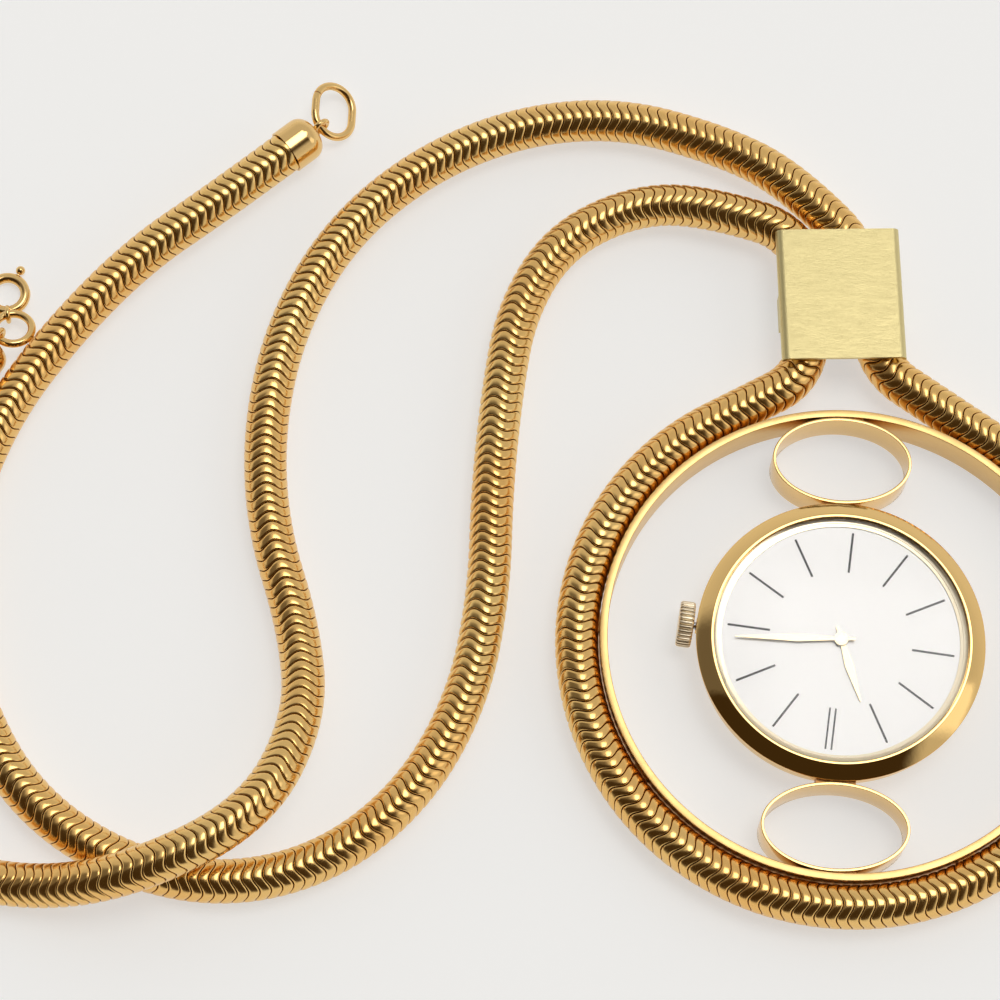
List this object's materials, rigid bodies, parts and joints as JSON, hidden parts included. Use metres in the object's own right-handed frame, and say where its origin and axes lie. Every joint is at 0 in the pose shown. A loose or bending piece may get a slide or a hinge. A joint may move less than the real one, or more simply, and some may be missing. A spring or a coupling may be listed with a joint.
{
  "type": "pendant watch on a chain",
  "caption": "Round dress watch held by oval rings inside a soldered flat hoop, hung on a round snake chain with a slide, end caps and a spring ring clasp.",
  "frame": {"origin": "centre of the case back's flat face, on the watch head's axis", "axes": "+Z out through the crystal, +Y up to the slide, +X to the right seen from the front; the dial's twelve points away from the slide"},
  "size_m": [0.1654, 0.1114, 0.0113],
  "materials": {
    "gold_case": "polished gold plate",
    "gold_chain": "polished gold plate",
    "gold_satin": "satin gold plate",
    "gold_solder": "rough solder under gold plate",
    "crown_steel": "bright plated steel",
    "dial_silver": "sunburst silvered",
    "crystal_clear": "clear",
    "hand_gold": "polished",
    "movement_nickel": "satin nickel",
    "movement_brass": "satin",
    "movement_steel": "polished"
  },
  "bodies": {
    "watch": {"case_back": "gold_case", "case_body": "gold_case", "crown_tube": "gold_case", "bezel": "gold_case", "rehaut_ring": "gold_satin", "crystal": "crystal_clear", "dial": "dial_silver", "main_plate": "movement_nickel", "casing_ring": "movement_brass", "train_bridge": "movement_nickel", "balance_cock": "movement_nickel", "bridge_screws": "movement_steel", "crown_wheel_core": "movement_steel", "click_pin": "movement_steel", "pallet_bridge": "movement_nickel", "hairspring": "movement_steel", "hoop": "gold_case", "upper_oval_ring": "gold_case", "lower_oval_ring": "gold_case", "ring_solder": "gold_solder", "chain_loop": "gold_chain", "chain_solder": "gold_solder", "slide_cover": "gold_satin", "slide_keeper": "gold_satin", "chain_strand_left": "gold_chain", "chain_strand_right": "gold_chain", "end_cap_left": "gold_case", "end_cap_right": "gold_case"},
    "minute_hand_body": {"cannon_pinion": "movement_steel", "minute_hand": "hand_gold"},
    "hour_hand_body": {"hour_wheel": "movement_brass", "hour_hand": "hand_gold"},
    "minute_wheel_body": {"minute_wheel": "movement_brass"},
    "fourth_wheel_body": {"fourth_wheel": "movement_brass"},
    "third_wheel_body": {"third_wheel": "movement_brass"},
    "centre_wheel_body": {"centre_wheel": "movement_brass"},
    "barrel_body": {"mainspring_barrel": "movement_brass"},
    "escape_wheel_body": {"escape_wheel": "movement_steel"},
    "balance_body": {"balance_wheel": "movement_brass"},
    "pallet_fork_body": {"pallet_fork": "movement_steel"},
    "winding_body": {"winding_pinion": "movement_steel", "clutch": "movement_steel"},
    "crown_body": {"crown": "crown_steel", "winding_stem": "movement_steel"},
    "crown_wheel_body": {"crown_wheel": "movement_steel"},
    "ratchet_body": {"ratchet_wheel": "movement_steel", "barrel_arbor": "movement_steel"},
    "click_body": {"click": "movement_steel"},
    "jump_ring_oval_body": {"jump_ring_oval": "gold_satin"},
    "jump_ring_round_body": {"jump_ring_round": "gold_satin"},
    "clasp_ring_body": {"clasp_body": "gold_case", "clasp_spring": "movement_steel"},
    "clasp_gate_body": {"clasp_gate": "gold_case"}
  },
  "joints": [
    {"name": "minute_hand_turn", "type": "hinge", "parent": "watch", "child": "minute_hand_body", "pos_m": [0, 0, 0.0034], "axis": [0, 0, -1], "continuous": true},
    {"name": "hour_hand_turn", "type": "hinge", "parent": "watch", "child": "hour_hand_body", "pos_m": [0, 0, 0.0034], "axis": [0, 0, -1], "continuous": true},
    {"name": "minute_wheel_turn", "type": "hinge", "parent": "watch", "child": "minute_wheel_body", "pos_m": [0.00265, -0.00187, 0.00442], "axis": [0, 0, -1], "continuous": true},
    {"name": "fourth_wheel_turn", "type": "hinge", "parent": "watch", "child": "fourth_wheel_body", "pos_m": [0.00439, 0.00442, 0.0029], "axis": [0, 0, -1], "continuous": true},
    {"name": "third_wheel_turn", "type": "hinge", "parent": "watch", "child": "third_wheel_body", "pos_m": [0.00409, 0.00108, 0.00235], "axis": [0, 0, -1], "continuous": true},
    {"name": "centre_wheel_turn", "type": "hinge", "parent": "watch", "child": "centre_wheel_body", "pos_m": [0, 0, 0.0034], "axis": [0, 0, -1], "continuous": true},
    {"name": "barrel_turn", "type": "hinge", "parent": "watch", "child": "barrel_body", "pos_m": [-0.00298, -0.00394, 0.00225], "axis": [0, 0, -1], "continuous": true},
    {"name": "escape_wheel_turn", "type": "hinge", "parent": "watch", "child": "escape_wheel_body", "pos_m": [0.00151, 0.0061, 0.00335], "axis": [0, 0, -1], "continuous": true},
    {"name": "balance_swing", "type": "hinge", "parent": "watch", "child": "balance_body", "pos_m": [-0.00414, 0.00631, 0.0026], "axis": [0, 0, 1], "range_deg": [-220, 220], "stiffness_Nm_per_rad": 0.00000014},
    {"name": "pallet_fork_rock", "type": "hinge", "parent": "watch", "child": "pallet_fork_body", "pos_m": [-0.00139, 0.00675, 0.00335], "axis": [0, 0, 1], "range_deg": [-4, 4]},
    {"name": "crown_turn", "type": "hinge", "parent": "watch", "child": "winding_body", "pos_m": [-0.00598, 0.00055, 0.00295], "axis": [-0.9958, 0.0917, 0], "continuous": true},
    {"name": "crown_pull", "type": "slide", "parent": "winding_body", "child": "crown_body", "axis": [-0.9958, 0.0917, 0], "range_m": [0, 0.0009]},
    {"name": "crown_wheel_turn", "type": "hinge", "parent": "watch", "child": "crown_wheel_body", "pos_m": [-0.00729, 0.00067, 0.00135], "axis": [0, 0, 1], "continuous": true},
    {"name": "ratchet_turn", "type": "hinge", "parent": "watch", "child": "ratchet_body", "pos_m": [-0.00298, -0.00394, 0.00225], "axis": [0, 0, 1], "continuous": true},
    {"name": "click_lift", "type": "hinge", "parent": "watch", "child": "click_body", "pos_m": [0.00132, -0.00607, 0.00135], "axis": [0, 0, 1], "range_deg": [-12, 0], "stiffness_Nm_per_rad": 0.0001, "springref_deg": 11.46},
    {"name": "oval_ring_swing", "type": "hinge", "parent": "watch", "child": "jump_ring_oval_body", "pos_m": [-0.06821, 0.06631, 0.00296], "axis": [0.6773, -0.7357, 0], "range_deg": [-15, 75]},
    {"name": "round_ring_swing", "type": "hinge", "parent": "watch", "child": "jump_ring_round_body", "pos_m": [-0.10676, 0.03473, 0.00296], "axis": [0.8618, -0.5072, 0], "range_deg": [-10, 70]},
    {"name": "clasp_swing", "type": "hinge", "parent": "jump_ring_round_body", "child": "clasp_ring_body", "pos_m": [-0.10595, 0.03836, 0.00196], "axis": [0.9848, 0.1736, 0], "range_deg": [-10, 60]},
    {"name": "gate_pull", "type": "hinge", "parent": "clasp_ring_body", "child": "clasp_gate_body", "pos_m": [-0.10652, 0.04161, 0.00068], "axis": [0, 0, -1], "range_deg": [0, 46], "stiffness_Nm_per_rad": 0.004, "springref_deg": -17.19}
  ],
  "couplings": [
    {"joint": "hour_hand_turn", "follows": "minute_hand_turn", "ratio": 0.083333},
    {"joint": "minute_wheel_turn", "follows": "minute_hand_turn", "ratio": -0.33333},
    {"joint": "third_wheel_turn", "follows": "fourth_wheel_turn", "ratio": -0.13333},
    {"joint": "centre_wheel_turn", "follows": "fourth_wheel_turn", "ratio": 0.016667},
    {"joint": "barrel_turn", "follows": "fourth_wheel_turn", "ratio": -0.0027778},
    {"joint": "escape_wheel_turn", "follows": "fourth_wheel_turn", "ratio": -10},
    {"joint": "crown_wheel_turn", "follows": "crown_turn", "ratio": 0.58333},
    {"joint": "ratchet_turn", "follows": "crown_turn", "ratio": -0.33333}
  ]
}
